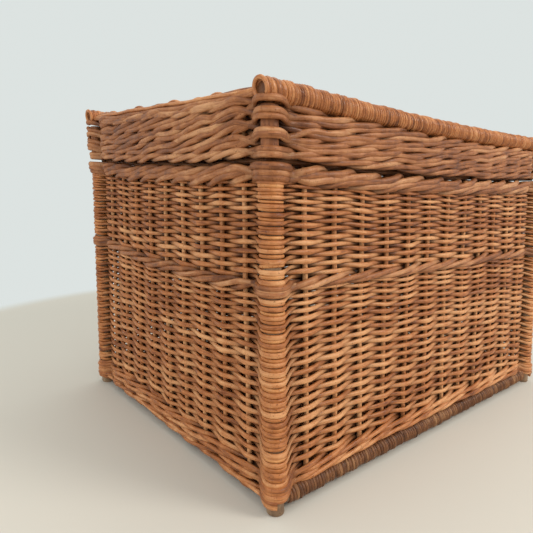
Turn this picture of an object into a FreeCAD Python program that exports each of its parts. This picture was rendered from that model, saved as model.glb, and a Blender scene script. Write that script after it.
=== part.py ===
import FreeCAD, Part
import os
import Sketcher

# Wicker storage trunk in square work, made as separate pieces, in millimetres.
# X runs along the length and Z is up. The front faces -Y, and the lid is hinged at the rear.
# The frame's origin is on the floor, under the middle of the whole trunk.

doc = FreeCAD.newDocument("wicker_trunk")

SIZES = (
    ("length", 610, "between the axes of the corner posts, along X"),
    ("width", 425, "between the axes of the corner posts at the border, along Y"),
    ("centre_shift", 5.35, "the walls sit this far forward, because the hinge loops stand out behind"),
    ("splay", 6, "how far each post's foot stands out past its top, along Y"),
    ("post_dia", 19.5, "bare corner post"),
    ("wrap_dia", 28.5, "corner post with the weavers turned round it"),
    ("stake_dia", 5.5, "upright stake inside a wall"),
    ("wall_thick", 14, "woven wall"),
    ("foot_wale_thick", 18, "waling at the bottom of the walls"),
    ("mid_wale_thick", 19, "waling band part way up the walls"),
    ("base_bottom", 8.5, "underside of the woven base"),
    ("base_thick", 14, "woven base"),
    ("inner_stick_dia", 9, "sticks inside the base and the lid's panel"),
    ("base_stick_dia", 16, "outer stick of the base"),
    ("base_bound_dia", 23, "outer stick of the base with its binding"),
    ("foot_wale_top", 42, "height of the top of the foot wale"),
    ("mid_wale_bottom", 243, "height of the underside of the mid wale"),
    ("mid_wale_top", 256, "height of the top of the mid wale"),
    ("border_bottom", 352, "height of the underside of the box's border"),
    ("border_top", 376, "height of the top of the box's border"),
    ("border_thick", 22, "border, across the wall"),
    ("border_round", 6, "rounding along the border's edges"),
    ("lid_gap", 2, "between the border and the closed lid"),
    ("lid_out", 3, "how far the lid's walls stand outside the box's"),
    ("lid_edge_height", 10, "bottom rods of the lid's wall"),
    ("lid_wall_thick", 17, "lid's wall"),
    ("lid_post_dia", 18, "bare corner post of the lid"),
    ("lid_wrap_dia", 28, "lid's corner post with its wrapping"),
    ("lid_stick_dia", 18, "outer stick of the lid"),
    ("lid_bound_dia", 26.5, "outer stick of the lid with its binding"),
    ("lid_stick_end", 12, "how far the lid's outer sticks run past the posts"),
    ("lid_bound_end", 6, "how far the binding on them runs past the posts"),
    ("lid_panel_thick", 14, "woven top of the lid"),
    ("overall_height", 455, "floor to the top of the lid's outer sticks"),
    ("hinge_ring_radius", 14, "willow hinge loop, to the middle of its rod"),
    ("hinge_rod_radius", 3, "rod of the hinge loop"),
    ("hinge_out", 13.5, "hinge axis behind the rear posts' axes"),
    ("hinge_clear", 0.5, "room round the hinge loop where it passes through the lid"),
)
LONG_STAKES = 12  # in the front wall, and in the rear wall
END_STAKES = 9  # in each end wall
INNER_STICKS = 8  # in the base, and in the lid's panel
HINGE_LOOP_GAPS = 3  # gaps between stakes from the middle to each hinge loop

sheet = doc.addObject("Spreadsheet::Sheet", "Sizes")
for row, (alias, value, note) in enumerate(SIZES, start=1):
    sheet.set(f"A{row}", alias)
    sheet.set(f"B{row}", str(value))
    sheet.set(f"C{row}", note)
    sheet.setAlias(f"B{row}", alias)
doc.recompute()

LONG_SIDES = {"front": -1, "rear": 1}
END_SIDES = {"left": -1, "right": 1}
MIDDLE_Y = "-Sizes.centre_shift"
LEAN = "Sizes.splay / Sizes.border_top"
BASE_TOP = "Sizes.base_bottom + Sizes.base_thick"
BASE_MIDDLE = "Sizes.base_bottom + Sizes.base_thick / 2"
LONG_BOTTOM = f"{BASE_MIDDLE} + Sizes.base_bound_dia / 2"
LID_BOTTOM = "Sizes.border_top + Sizes.lid_gap"
LID_STICK_Z = "Sizes.overall_height - Sizes.lid_bound_dia / 2"
LID_STICK_UNDER = "Sizes.overall_height - Sizes.lid_bound_dia"
LID_PANEL_UNDER = f"{LID_STICK_Z} - Sizes.lid_panel_thick / 2"
LID_HALF_LENGTH = "Sizes.length / 2 + Sizes.lid_out"
LID_HALF_WIDTH = "Sizes.width / 2 + Sizes.lid_out"

nodes = []


def sub_part(feature, label):
    """Marks a feature as one of the trunk's pieces."""
    feature.Label = label
    nodes.append(feature)
    return feature


def place(feature, x="0", y="0", z="0"):
    """Ties a feature's position to the sheet."""
    feature.setExpression(".Placement.Base.x", x)
    feature.setExpression(".Placement.Base.y", y)
    feature.setExpression(".Placement.Base.z", z)


def long_wall_y(side, height):
    """The middle of the front or rear wall at one height: the walls lean out towards the floor."""
    out = f"Sizes.width / 2 + {LEAN} * (Sizes.border_top - ({height}))"
    return f"{side} * ({out}) - Sizes.centre_shift"


def block(name, size, corner):
    """A box, from the sizes and the low corner given as expressions."""
    box = doc.addObject("Part::Box", name)
    for side, expression in zip(("Length", "Width", "Height"), size):
        box.setExpression(side, expression)
    place(box, *corner)
    return box


def cylinder(name, diameter, length, position, along="z"):
    """A round rod, upright or along X."""
    rod = doc.addObject("Part::Cylinder", name)
    rod.setExpression("Radius", f"{diameter} / 2")
    rod.setExpression("Height", length)
    if along == "x":
        rod.Placement.Rotation = FreeCAD.Rotation(FreeCAD.Vector(0, 1, 0), 90)
    place(rod, *position)
    return rod


def leaning(name, outline, side, height):
    """Raises a flat outline along the lean of the front or rear wall."""
    solid = doc.addObject("Part::Extrusion", name)
    solid.Base = outline
    solid.DirMode = "Custom"
    solid.Dir = FreeCAD.Vector(0, 0, 1)
    solid.setExpression("Dir.y", f"{-side} * {LEAN}")
    solid.setExpression("LengthFwd", f"({height}) * sqrt(1 + ({LEAN}) ^ 2)")
    solid.Solid = True
    return solid


def leaning_rod(name, diameter, side, x, bottom, top):
    """A round rod that leans with the front or rear wall."""
    circle = doc.addObject("Part::Circle", f"{name}_outline")
    circle.setExpression("Radius", f"{diameter} / 2")
    place(circle, x, long_wall_y(side, bottom), bottom)
    return leaning(name, circle, side, f"{top} - ({bottom})")


def leaning_panel(name, side, thickness, bottom, top):
    """A band of the front or rear wall, between the wrapped corner posts."""
    outline = doc.addObject("Part::Plane", f"{name}_outline")
    outline.setExpression("Length", "Sizes.length - Sizes.wrap_dia")
    outline.setExpression("Width", thickness)
    y = f"{long_wall_y(side, bottom)} - {thickness} / 2"
    place(outline, "(Sizes.wrap_dia - Sizes.length) / 2", y, bottom)
    return leaning(name, outline, side, f"{top} - ({bottom})")


def end_panel(name, side, thickness, bottom, top):
    """A band of an end wall: a sketch whose sides follow the leaning posts, padded to its thickness."""
    body = doc.addObject("PartDesign::Body", name)
    place(body, f"{side} * Sizes.length / 2", MIDDLE_Y)
    sketch = body.newObject("Sketcher::SketchObject", f"{name}_sketch")
    planes = {feature.Role: feature for feature in body.Origin.OriginFeatures}
    sketch.AttachmentSupport = [(planes["YZ_Plane"], "")]
    sketch.MapMode = "FlatFace"
    corners = [(-90, 10), (90, 10), (80, 50), (-80, 50)]
    for start, end in zip(corners, corners[1:] + corners[:1]):
        line = Part.LineSegment(FreeCAD.Vector(*start, 0), FreeCAD.Vector(*end, 0))
        sketch.addGeometry(line)
    for edge in range(4):
        sketch.addConstraint(Sketcher.Constraint("Coincident", edge, 2, (edge + 1) % 4, 1))
    sketch.addConstraint(Sketcher.Constraint("Symmetric", 0, 1, 0, 2, -2))
    sketch.addConstraint(Sketcher.Constraint("Symmetric", 2, 1, 2, 2, -2))
    spans = {}
    spans["bottom"] = sketch.addConstraint(Sketcher.Constraint("DistanceY", -1, 1, 0, 1, 10))
    spans["top"] = sketch.addConstraint(Sketcher.Constraint("DistanceY", -1, 1, 2, 1, 50))
    spans["bottom_width"] = sketch.addConstraint(Sketcher.Constraint("DistanceX", 0, 1, 0, 2, 180))
    spans["top_width"] = sketch.addConstraint(Sketcher.Constraint("DistanceX", 2, 2, 2, 1, 160))
    width = "Sizes.width - Sizes.wrap_dia + 2 * {} * (Sizes.border_top - ({}))"
    values = {
        "bottom": bottom,
        "top": top,
        "bottom_width": width.format(LEAN, bottom),
        "top_width": width.format(LEAN, top),
    }
    for span, expression in values.items():
        sketch.setExpression(f"Constraints[{spans[span]}]", expression)
    pad = body.newObject("PartDesign::Pad", f"{name}_pad")
    pad.Profile = sketch
    pad.SideType = "Symmetric"
    pad.setExpression("Length", thickness)
    body.Tip = pad
    return body


def compound(name, parts):
    group = doc.addObject("Part::Compound", name)
    group.Links = parts
    return group


def cut(name, whole, tool):
    """Takes one shape out of another."""
    result = doc.addObject("Part::Cut", name)
    result.Base = whole
    result.Tool = tool
    return result


def rounded(name, box, along):
    """Rounds a box's edges that run along X or Y."""
    doc.recompute()
    fillet = doc.addObject("Part::Fillet", name)
    fillet.Base = box
    chosen = []
    for number, edge in enumerate(box.Shape.Edges, start=1):
        ends = edge.Vertexes[0].Point.sub(edge.Vertexes[-1].Point)
        if abs(getattr(ends, along)) > 1:
            chosen.append((number, float(sheet.border_round), float(sheet.border_round)))
    fillet.Edges = chosen
    return fillet


def stake_x(number):
    """How far along X a stake of the long walls stands."""
    return f"Sizes.length * ({number + 1} / {LONG_STAKES + 1} - 0.5)"


def stake_y(number):
    """How far along Y a stake of the end walls stands."""
    return f"Sizes.width * ({number + 1} / {END_STAKES + 1} - 0.5) - Sizes.centre_shift"


# Stakes of the box. They run up inside the walls, from the base to the border.
stakes = {}
for name, side in LONG_SIDES.items():
    rods = [
        leaning_rod(f"stake_{name}_{n}", "Sizes.stake_dia", side, stake_x(n), LONG_BOTTOM, "Sizes.border_bottom")
        for n in range(LONG_STAKES)
    ]
    stakes[name] = sub_part(compound(f"stakes_{name}", rods), f"stakes_{name}")
for name, side in END_SIDES.items():
    rise = f"Sizes.border_bottom - ({BASE_TOP})"
    rods = [
        cylinder(f"stake_{name}_{n}", "Sizes.stake_dia", rise, (f"{side} * Sizes.length / 2", stake_y(n), BASE_TOP))
        for n in range(END_STAKES)
    ]
    stakes[name] = sub_part(compound(f"stakes_{name}", rods), f"stakes_{name}")

# The woven walls, in four bands one above another, with the stakes running up through them.
BANDS = (
    ("foot_wale", "Sizes.foot_wale_thick", None, "Sizes.foot_wale_top"),
    ("lower_siding", "Sizes.wall_thick", "Sizes.foot_wale_top", "Sizes.mid_wale_bottom"),
    ("mid_wale", "Sizes.mid_wale_thick", "Sizes.mid_wale_bottom", "Sizes.mid_wale_top"),
    ("upper_siding", "Sizes.wall_thick", "Sizes.mid_wale_top", "Sizes.border_bottom"),
)
for band, thickness, bottom, top in BANDS:
    for name, side in LONG_SIDES.items():
        solid = leaning_panel(f"{band}_{name}_solid", side, thickness, bottom or LONG_BOTTOM, top)
        sub_part(cut(f"{band}_{name}", solid, stakes[name]), f"{band}_{name}")
    for name, side in END_SIDES.items():
        solid = end_panel(f"{band}_{name}_solid", side, thickness, bottom or BASE_TOP, top)
        sub_part(cut(f"{band}_{name}", solid, stakes[name]), f"{band}_{name}")

# Corner posts of the box, which stand on the floor, and the weavers turned round them.
wraps = []
for y_name, y_side in LONG_SIDES.items():
    for x_name, x_side in END_SIDES.items():
        corner = f"{y_name}_{x_name}"
        x = f"{x_side} * Sizes.length / 2"
        post = leaning_rod(f"corner_post_{corner}", "Sizes.post_dia", y_side, x, "0", "Sizes.border_bottom")
        sub_part(post, f"corner_post_{corner}")
        sleeve = leaning_rod(f"wrap_{corner}", "Sizes.wrap_dia", y_side, x, LONG_BOTTOM, "Sizes.border_bottom")
        wraps.append(cut(f"wrap_{corner}_ring", sleeve, post))
sub_part(compound("corner_wraps", wraps), "corner_wraps")

# Base: a woven panel on lengthwise sticks, between two bound outer sticks at the front and the rear.
half_width_at_base = f"Sizes.width / 2 + {LEAN} * (Sizes.border_top - ({BASE_MIDDLE}))"
panel_width = f"2 * ({half_width_at_base}) - Sizes.base_bound_dia"
panel_length = "Sizes.length + Sizes.foot_wale_thick"
panel = block(
    "base_panel",
    (panel_length, panel_width, "Sizes.base_thick"),
    (f"-({panel_length}) / 2", f"-({panel_width}) / 2 - Sizes.centre_shift", "Sizes.base_bottom"),
)
sticks = [
    cylinder(
        f"base_stick_{n}",
        "Sizes.inner_stick_dia",
        panel_length,
        (
            f"-({panel_length}) / 2",
            f"Sizes.width * ({n + 1} / {INNER_STICKS + 1} - 0.5) - Sizes.centre_shift",
            BASE_MIDDLE,
        ),
        along="x",
    )
    for n in range(INNER_STICKS)
]
base_sticks = sub_part(compound("base_inner_sticks", sticks), "base_inner_sticks")
sub_part(cut("base_weave", panel, base_sticks), "base_weave")
for name, side in LONG_SIDES.items():
    y = long_wall_y(side, BASE_MIDDLE)
    stick_length = "Sizes.length - Sizes.post_dia"
    position = (f"-({stick_length}) / 2", y, BASE_MIDDLE)
    stick = cylinder(f"base_outer_stick_{name}", "Sizes.base_stick_dia", stick_length, position, along="x")
    sub_part(stick, f"base_outer_stick_{name}")
    bound_length = "Sizes.length - Sizes.wrap_dia"
    position = (f"-({bound_length}) / 2", y, BASE_MIDDLE)
    binding = cylinder(f"base_bound_{name}", "Sizes.base_bound_dia", bound_length, position, along="x")
    sub_part(cut(f"base_binding_{name}", binding, stick), f"base_binding_{name}")

# Hinge loops: rings of twisted willow round the box's border and the lid's bottom rod.
HINGE_X = f"{HINGE_LOOP_GAPS} / {LONG_STAKES + 1} * Sizes.length"
HINGE_Y = "Sizes.width / 2 + Sizes.hinge_out - Sizes.centre_shift"
HINGE_Z = "Sizes.border_top + Sizes.lid_gap / 2"


def hinge_ring(name, side, thickness):
    ring = doc.addObject("Part::Torus", name)
    ring.setExpression("Radius1", "Sizes.hinge_ring_radius")
    ring.setExpression("Radius2", thickness)
    ring.Placement.Rotation = FreeCAD.Rotation(FreeCAD.Vector(0, 1, 0), 90)
    place(ring, f"{side} * {HINGE_X}", HINGE_Y, HINGE_Z)
    return ring


loops = [
    sub_part(hinge_ring(f"hinge_loop_{name}", side, "Sizes.hinge_rod_radius"), f"hinge_loop_{name}")
    for name, side in END_SIDES.items()
]
loops_in_box = compound("hinge_loops_in_box", loops)
room_for_loops = compound(
    "hinge_loop_room",
    [
        hinge_ring(f"hinge_room_{name}", side, "Sizes.hinge_rod_radius + Sizes.hinge_clear")
        for name, side in END_SIDES.items()
    ],
)

# Border of the box. The front and rear run the full length, and the ends fit between them.
for name, side in LONG_SIDES.items():
    span = "Sizes.length + Sizes.border_thick + 2"
    bar = block(
        f"border_bar_{name}",
        (span, "Sizes.border_thick", "Sizes.border_top - Sizes.border_bottom"),
        (
            f"-({span}) / 2",
            f"{side} * Sizes.width / 2 - Sizes.border_thick / 2 - Sizes.centre_shift",
            "Sizes.border_bottom",
        ),
    )
    bar = rounded(f"border_round_{name}", bar, "x")
    if name == "rear":
        bar = cut("border_rear_cut", bar, loops_in_box)
    sub_part(bar, f"border_{name}")
for name, side in END_SIDES.items():
    span = "Sizes.width - Sizes.border_thick"
    bar = block(
        f"border_bar_{name}",
        ("Sizes.border_thick", span, "Sizes.border_top - Sizes.border_bottom"),
        (
            f"{side} * Sizes.length / 2 - Sizes.border_thick / 2",
            f"-({span}) / 2 - Sizes.centre_shift",
            "Sizes.border_bottom",
        ),
    )
    sub_part(rounded(f"border_round_{name}", bar, "y"), f"border_{name}")

# Lid: outer sticks, and a woven panel between them.
for name, side in LONG_SIDES.items():
    y = f"{side} * ({LID_HALF_WIDTH}) - Sizes.centre_shift"
    half = f"{LID_HALF_LENGTH} + Sizes.lid_stick_end"
    position = (f"-({half})", y, LID_STICK_Z)
    stick = cylinder(f"lid_outer_stick_{name}", "Sizes.lid_stick_dia", f"2 * ({half})", position, along="x")
    sub_part(stick, f"lid_outer_stick_{name}")
    half = f"{LID_HALF_LENGTH} + Sizes.lid_bound_end"
    position = (f"-({half})", y, LID_STICK_Z)
    binding = cylinder(f"lid_bound_{name}", "Sizes.lid_bound_dia", f"2 * ({half})", position, along="x")
    sub_part(cut(f"lid_binding_{name}", binding, stick), f"lid_binding_{name}")

panel_width = f"2 * ({LID_HALF_WIDTH}) - Sizes.lid_bound_dia"
panel_length = f"2 * ({LID_HALF_LENGTH}) + Sizes.lid_wall_thick"
panel = block(
    "lid_panel",
    (panel_length, panel_width, "Sizes.lid_panel_thick"),
    (f"-({panel_length}) / 2", f"-({panel_width}) / 2 - Sizes.centre_shift", LID_PANEL_UNDER),
)
sticks = [
    cylinder(
        f"lid_stick_{n}",
        "Sizes.inner_stick_dia",
        panel_length,
        (
            f"-({panel_length}) / 2",
            f"Sizes.width * ({n + 1} / {INNER_STICKS + 1} - 0.5) - Sizes.centre_shift",
            LID_STICK_Z,
        ),
        along="x",
    )
    for n in range(INNER_STICKS)
]
lid_sticks = sub_part(compound("lid_inner_sticks", sticks), "lid_inner_sticks")
sub_part(cut("lid_weave", panel, lid_sticks), "lid_weave")

# Corner posts of the lid, with their wrapping.
wraps = []
for y_name, y_side in LONG_SIDES.items():
    for x_name, x_side in END_SIDES.items():
        corner = f"{y_name}_{x_name}"
        position = (
            f"{x_side} * ({LID_HALF_LENGTH})",
            f"{y_side} * ({LID_HALF_WIDTH}) - Sizes.centre_shift",
            LID_BOTTOM,
        )
        rise = f"{LID_STICK_UNDER} - ({LID_BOTTOM})"
        post = cylinder(f"lid_corner_post_{corner}", "Sizes.lid_post_dia", rise, position)
        sub_part(post, f"lid_corner_post_{corner}")
        sleeve = cylinder(f"lid_wrap_{corner}", "Sizes.lid_wrap_dia", rise, position)
        wraps.append(cut(f"lid_wrap_{corner}_ring", sleeve, post))
sub_part(compound("lid_corner_wraps", wraps), "lid_corner_wraps")

# The lid's stakes, from its bottom rods up to its sticks and panel.
stakes_bottom = f"{LID_BOTTOM} + Sizes.lid_edge_height"
rods = []
for name, side in LONG_SIDES.items():
    for n in range(LONG_STAKES):
        position = (stake_x(n), f"{side} * ({LID_HALF_WIDTH}) - Sizes.centre_shift", stakes_bottom)
        rise = f"{LID_STICK_UNDER} - ({stakes_bottom})"
        rods.append(cylinder(f"lid_stake_{name}_{n}", "Sizes.stake_dia", rise, position))
for name, side in END_SIDES.items():
    for n in range(END_STAKES):
        position = (f"{side} * ({LID_HALF_LENGTH})", stake_y(n), stakes_bottom)
        rise = f"{LID_PANEL_UNDER} - ({stakes_bottom})"
        rods.append(cylinder(f"lid_stake_{name}_{n}", "Sizes.stake_dia", rise, position))
lid_stakes = sub_part(compound("lid_stakes", rods), "lid_stakes")

# The lid's walls: bottom rods, and the waling above them.
for name, side in LONG_SIDES.items():
    span = f"2 * ({LID_HALF_LENGTH}) - Sizes.lid_wrap_dia"
    corner = (f"-({span}) / 2", f"{side} * ({LID_HALF_WIDTH}) - Sizes.lid_wall_thick / 2 - Sizes.centre_shift")
    edge = block(
        f"lid_edge_{name}_solid",
        (span, "Sizes.lid_wall_thick", "Sizes.lid_edge_height"),
        (*corner, LID_BOTTOM),
    )
    wall = block(
        f"lid_siding_{name}_solid",
        (span, "Sizes.lid_wall_thick", f"{LID_STICK_UNDER} - ({stakes_bottom})"),
        (*corner, stakes_bottom),
    )
    wall = cut(f"lid_siding_{name}_staked", wall, lid_stakes)
    if name == "rear":
        edge = cut("lid_edge_rear_cut", edge, room_for_loops)
        wall = cut("lid_siding_rear_cut", wall, room_for_loops)
    sub_part(edge, f"lid_edge_{name}")
    sub_part(wall, f"lid_siding_{name}")
for name, side in END_SIDES.items():
    span = f"2 * ({LID_HALF_WIDTH}) - Sizes.lid_wrap_dia"
    corner = (
        f"{side} * ({LID_HALF_LENGTH}) - Sizes.lid_wall_thick / 2",
        f"-({span}) / 2 - Sizes.centre_shift",
    )
    edge = block(
        f"lid_edge_{name}_solid",
        ("Sizes.lid_wall_thick", span, "Sizes.lid_edge_height"),
        (*corner, LID_BOTTOM),
    )
    sub_part(edge, f"lid_edge_{name}")
    wall = block(
        f"lid_siding_{name}_solid",
        ("Sizes.lid_wall_thick", span, f"{LID_PANEL_UNDER} - ({stakes_bottom})"),
        (*corner, stakes_bottom),
    )
    sub_part(cut(f"lid_siding_{name}", wall, lid_stakes), f"lid_siding_{name}")

doc.recompute()

for feature in doc.Objects:
    if "Invalid" in feature.State or "Error" in feature.State:
        raise RuntimeError(f"{feature.Label} did not build: {feature.State}")
for node in nodes:
    if node.Shape.isNull() or not node.Shape.isValid() or not node.Shape.Solids:
        raise RuntimeError(f"{node.Label} has no valid solid")

os.makedirs("parts", exist_ok=True)
whole = FreeCAD.BoundBox()
for node in nodes:
    whole.add(node.Shape.BoundBox)
    node.Shape.exportStep(f"parts/{node.Label}.step")
print(len(nodes), "pieces", whole)
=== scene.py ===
import math
from typing import NamedTuple

import bpy
import numpy as np
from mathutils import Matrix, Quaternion, Vector


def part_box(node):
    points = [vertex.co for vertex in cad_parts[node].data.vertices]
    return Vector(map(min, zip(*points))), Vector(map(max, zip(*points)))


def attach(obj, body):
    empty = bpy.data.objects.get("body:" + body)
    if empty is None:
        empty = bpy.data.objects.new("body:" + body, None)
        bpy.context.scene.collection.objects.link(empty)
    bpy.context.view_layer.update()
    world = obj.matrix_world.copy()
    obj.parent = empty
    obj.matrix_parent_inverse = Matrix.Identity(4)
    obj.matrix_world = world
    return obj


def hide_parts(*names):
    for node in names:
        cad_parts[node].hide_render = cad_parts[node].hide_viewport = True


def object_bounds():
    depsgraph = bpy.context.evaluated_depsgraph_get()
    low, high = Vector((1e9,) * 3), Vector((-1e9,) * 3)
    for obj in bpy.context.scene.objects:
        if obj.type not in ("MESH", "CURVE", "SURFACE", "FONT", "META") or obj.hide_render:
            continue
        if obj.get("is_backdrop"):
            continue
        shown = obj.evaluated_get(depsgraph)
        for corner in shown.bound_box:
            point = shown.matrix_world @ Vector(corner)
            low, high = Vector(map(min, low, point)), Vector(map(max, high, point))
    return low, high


# The looks of the wicker trunk. Every woven part is made of real willow rods, each a swept tube that
# runs through the stakes, and each rod carries its own tone for the material to read.

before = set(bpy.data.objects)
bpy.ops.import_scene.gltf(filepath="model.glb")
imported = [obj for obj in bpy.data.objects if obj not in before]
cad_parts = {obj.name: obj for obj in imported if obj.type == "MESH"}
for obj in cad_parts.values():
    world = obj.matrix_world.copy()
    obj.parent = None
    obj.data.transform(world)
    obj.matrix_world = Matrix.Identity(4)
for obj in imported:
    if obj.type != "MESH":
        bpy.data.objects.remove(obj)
cad_low, cad_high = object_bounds()
rng = np.random.default_rng(11)

MM = 0.001
X, Y, Z = range(3)
UP = np.array((0.0, 0.0, 1.0))
SIDEWAYS = np.array((1.0, 0.0, 0.0))
FULL_TURN = 2 * math.pi
WALL_NAMES = ("left", "front", "right", "rear")  # as a weaver goes round, from the rear left post
LONG_WALLS = ("front", "rear")
DIRECTIONS = {"front": (1, 0, 0), "right": (0, 1, 0), "rear": (-1, 0, 0), "left": (0, -1, 0)}
STAKES = {"front": 12, "right": 9, "rear": 12, "left": 9}
ROUND = sum(STAKES.values()) + 4  # uprights that a weaver passes in one round, corner posts included
FIRST_POST = {"left": "rear_left", "front": "front_left", "right": "front_right", "rear": "rear_right"}


def centre(node):
    """The middle of a CAD piece's box."""
    low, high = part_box(node)
    return (low + high) / 2


def half_size(node, axis):
    """Half a CAD piece's size along one axis."""
    low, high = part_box(node)
    return (high[axis] - low[axis]) / 2


# ---------------------------------------------------------------- materials

STREAK_SCALE = (34, 7, 1)  # noise cells per metre along a rod and per turn round it
BLOTCH_SCALE = 70  # noise cells per metre
WEAR_SCALE = 7
SPECK_SCALE = 420
NOISE_SPAN = (0.3, 0.7)  # most of a noise's values lie in here
WEAR_SPAN = (0.35, 0.65)
SPECK_SPAN = (0.63, 0.7)  # only the highest values make specks
STREAK_TONE = 0.3  # how far the streaks move the tone either way
BLOTCH_TONE = 0.2
WEAR_TONE = 0.14
SPECK_SHARE = 0.75
SPECK_TINT = (0.3, 0.22, 0.16)
# Painted shade: the colour a rod is darkened towards where it lies behind an upright or in another
# recess.
PAINTED_SHADE_TINT = (0.03, 0.018, 0.012)
VARNISH_SPECULAR = 0.32
GLOSSIER, DULLER = 0.14, 0.16  # how far the roughness goes below and above its middle
RELIEF_DEPTH = 0.8 * MM


def willow(name, dark, middle, light, roughness=0.42, relief=0.5):
    """Stained willow: each rod's own tone, streaks along it, blotches, dark specks, painted shade
    where it runs behind a stake or lies in another recess, and a worn varnish."""
    material = bpy.data.materials.new(name)
    material.use_nodes = True
    tree = material.node_tree
    nodes, link = tree.nodes, tree.links.new
    shader = nodes["Principled BSDF"]

    def attribute(label):
        node = nodes.new("ShaderNodeAttribute")
        node.attribute_name = label
        return node.outputs["Fac"]

    def noise(vector, scale, detail, roughness=0.6):
        node = nodes.new("ShaderNodeTexNoise")
        node.inputs["Scale"].default_value = scale
        node.inputs["Detail"].default_value = detail
        node.inputs["Roughness"].default_value = roughness
        link(vector, node.inputs["Vector"])
        return node.outputs["Fac"]

    def spread(value, span, result):
        """The value carried from one range over to another."""
        node = nodes.new("ShaderNodeMapRange")
        for socket, number in zip(("From Min", "From Max", "To Min", "To Max"), (*span, *result)):
            node.inputs[socket].default_value = number
        link(value, node.inputs["Value"])
        return node.outputs["Result"]

    def total(first, second):
        node = nodes.new("ShaderNodeMath")
        link(first, node.inputs[0])
        link(second, node.inputs[1])
        return node.outputs["Value"]

    def darkened(colour, share, tint):
        node = nodes.new("ShaderNodeMix")
        node.data_type = "RGBA"
        node.blend_type = "MULTIPLY"
        node.inputs["B"].default_value = (*tint, 1)
        link(colour, node.inputs["A"])
        link(share, node.inputs["Factor"])
        return node.outputs["Result"]

    place = nodes.new("ShaderNodeTexCoord")
    lengthwise = nodes.new("ShaderNodeMapping")
    lengthwise.inputs["Scale"].default_value = STREAK_SCALE
    link(place.outputs["UV"], lengthwise.inputs["Vector"])
    streaks = noise(lengthwise.outputs["Vector"], 1.0, 6, 0.68)
    blotches = noise(place.outputs["Object"], BLOTCH_SCALE, 4)
    wear = noise(place.outputs["Object"], WEAR_SCALE, 3)
    specks = noise(place.outputs["Object"], SPECK_SCALE, 2)

    shade = total(attribute("tone"), spread(streaks, NOISE_SPAN, (-STREAK_TONE, STREAK_TONE)))
    shade = total(shade, spread(blotches, NOISE_SPAN, (-BLOTCH_TONE, BLOTCH_TONE)))
    shade = total(shade, spread(wear, WEAR_SPAN, (-WEAR_TONE, WEAR_TONE)))
    colours = nodes.new("ShaderNodeValToRGB")
    stops = colours.color_ramp.elements
    stops[0].position = 0.0
    stops[0].color = (*dark, 1)
    stops[1].position = 1.0
    stops[1].color = (*light, 1)
    stops.new(0.5).color = (*middle, 1)
    link(shade, colours.inputs["Fac"])
    colour = darkened(colours.outputs["Color"], spread(specks, SPECK_SPAN, (0, SPECK_SHARE)), SPECK_TINT)
    # Painted shade, read from each rod: it darkens the rod behind uprights and in other recesses.
    colour = darkened(colour, spread(attribute("grime"), (0, 1), (0, 1)), PAINTED_SHADE_TINT)
    link(colour, shader.inputs["Base Color"])
    shader.inputs["Specular IOR Level"].default_value = VARNISH_SPECULAR

    gloss = spread(blotches, NOISE_SPAN, (roughness - GLOSSIER, roughness + DULLER))
    link(gloss, shader.inputs["Roughness"])
    bump = nodes.new("ShaderNodeBump")
    bump.inputs["Strength"].default_value = relief
    bump.inputs["Distance"].default_value = RELIEF_DEPTH
    link(total(streaks, specks), bump.inputs["Height"])
    link(bump.outputs["Normal"], shader.inputs["Normal"])
    return material


# Each kind of rod: its dark, middle and light colour, then its roughness.
weaver_willow = willow("willow_weavers", (0.17, 0.042, 0.01), (0.48, 0.168, 0.052), (0.72, 0.35, 0.15))
rod_willow = willow(
    "willow_thick_rods", (0.13, 0.035, 0.009), (0.37, 0.131, 0.044), (0.6, 0.29, 0.13), 0.45
)
wrap_willow = willow("willow_wraps", (0.2, 0.048, 0.01), (0.47, 0.162, 0.044), (0.72, 0.34, 0.125), 0.34)
bound_willow = willow(
    "willow_binding", (0.15, 0.04, 0.011), (0.45, 0.155, 0.047), (0.72, 0.35, 0.145), 0.36
)
base_willow = willow(
    "willow_base_binding", (0.06, 0.019, 0.006), (0.19, 0.071, 0.026), (0.42, 0.21, 0.09), 0.45
)
stake_willow = willow("willow_stakes", (0.2, 0.06, 0.016), (0.52, 0.2, 0.07), (0.78, 0.42, 0.19), 0.5)
post_willow = willow("willow_posts", (0.09, 0.05, 0.03), (0.25, 0.15, 0.085), (0.44, 0.31, 0.2), 0.62)


# ---------------------------------------------------------------- rods

def smooth_path(stations, steps):
    """A curve through the stations. Every column, the rod's size and tone included, is smoothed alike."""
    stations = np.asarray(stations, float)
    before = 2 * stations[0] - stations[1]
    after = 2 * stations[-1] - stations[-2]
    points = np.vstack([before, stations, after])
    t = (np.arange(steps) / steps)[:, None]
    pieces = []
    for a, b, c, d in zip(points, points[1:], points[2:], points[3:]):
        bend = 2 * a - 5 * b + 4 * c - d
        turn = 3 * b - a - 3 * c + d
        pieces.append(0.5 * (2 * b + (c - a) * t + bend * t ** 2 + turn * t ** 3))
    return np.vstack(pieces + [stations[-1:]])


LEAN_PIVOT = 0.2  # height that keeps its place
LEAN = 8 * MM  # how far the front stands out at its foot, and back at twice the pivot's height
RACK = -3 * MM  # how far the trunk has gone sideways at twice the pivot's height
FRONT_Y, REAR_Y = -0.22, 0.215
END_X = 0.31
RIM_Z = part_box("border_front")[1].z
RIM_DROP = 8 * MM  # at the front right
LID_DROP = 8 * MM  # at the lid's top, over its right end


def leaned(points, body):
    """The trunk isn't quite square any more. It has racked a little, the front leans back, the rim
    has sunk at the front right, and the right of the lid is pressed down."""
    height = (points[:, Z] - LEAN_PIVOT) / LEAN_PIVOT
    forward = np.clip((REAR_Y - points[:, Y]) / (REAR_Y - FRONT_Y), 0, 1.05)
    along = np.clip((points[:, X] + END_X) / (2 * END_X), 0, 1)
    drop = RIM_DROP * along * forward * np.clip(points[:, Z] / RIM_Z, 0, 1)
    if body == "lid":
        drop += LID_DROP * along * np.clip((points[:, Z] - RIM_Z) / (cad_high.z - RIM_Z), 0, 1)
    points[:, X] += RACK * height
    points[:, Y] += LEAN * height * forward
    points[:, Z] -= drop
    return points


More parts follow.
